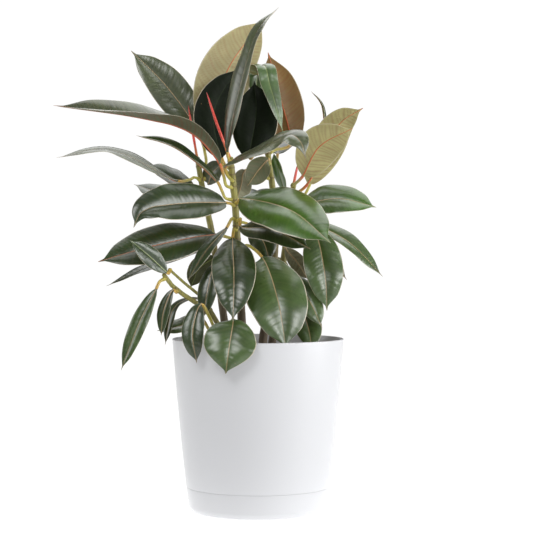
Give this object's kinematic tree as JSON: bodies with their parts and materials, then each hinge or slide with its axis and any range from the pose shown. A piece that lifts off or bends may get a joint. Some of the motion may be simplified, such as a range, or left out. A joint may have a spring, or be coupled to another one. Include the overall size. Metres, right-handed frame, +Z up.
{
  "type": "potted rubber plant",
  "caption": "Leafy indoor rubber plant with broad glossy leaves on upright stems, standing in a tapered planter filled with soil and set on an attached drip saucer.",
  "frame": {"origin": "centre of the planter's foot, on the surface it stands on", "axes": "+Z up; -Y towards the side the plant is seen from, +X to the right from there"},
  "size_m": [0.486, 0.3555, 0.747],
  "materials": {
    "planter": "smooth white moulded plastic, satin to glossy",
    "soil": null,
    "stem": "thin bark, grey-brown low down and yellow-green near the tips",
    "leaf": "leathery blade, dark green and waxy above, olive and matt below",
    "sheath": "smooth red rolled sheath around a growing tip"
  },
  "bodies": {
    "root": {"stem_main": "stem", "stem_left": "stem", "stem_right": "stem", "stem_back": "stem", "stem_shoot": "stem", "sheath_main": "sheath", "sheath_left": "sheath", "sheath_right": "sheath", "leaf_spear": "leaf", "leaf_dark_left": "leaf", "leaf_tall_back": "leaf", "leaf_long_left": "leaf", "leaf_front_right_top": "leaf", "leaf_curl_left": "leaf", "leaf_middle_left": "leaf", "leaf_front_right": "leaf", "leaf_shaded": "leaf", "leaf_low_left": "leaf", "leaf_narrow_left": "leaf", "leaf_front_centre": "leaf", "leaf_front_big": "leaf", "leaf_low_dark": "leaf", "leaf_shadow": "leaf", "leaf_upper_left": "leaf", "leaf_thin_left": "leaf", "leaf_tucked_left": "leaf", "leaf_back_left": "leaf", "leaf_sliver_left": "leaf", "leaf_under_left": "leaf", "leaf_pale_left": "leaf", "leaf_behind_left": "leaf", "leaf_olive_right": "leaf", "leaf_olive_back": "leaf", "leaf_blade_right": "leaf", "leaf_right": "leaf", "leaf_far_right": "leaf", "leaf_hanging_right": "leaf", "leaf_pale_right": "leaf", "leaf_low_right": "leaf", "leaf_soil_right": "leaf", "leaf_inner_right": "leaf", "leaf_dark_right": "leaf", "leaf_bright_arch": "leaf", "leaf_bronze": "leaf", "leaf_inner_back": "leaf", "leaf_inner_left": "leaf", "leaf_rear_low": "leaf", "leaf_rear_right": "leaf", "leaf_rear_middle": "leaf", "leaf_rear_top": "leaf", "leaf_glossy_small": "leaf", "leaf_drooping": "leaf", "leaf_small_hanging": "leaf", "leaf_curved_small": "leaf", "leaf_rim_left": "leaf", "leaf_over_rim_left": "leaf", "leaf_over_rim": "leaf", "saucer": "planter", "planter_shell": "planter", "soil": "soil"}
  },
  "joints": []
}
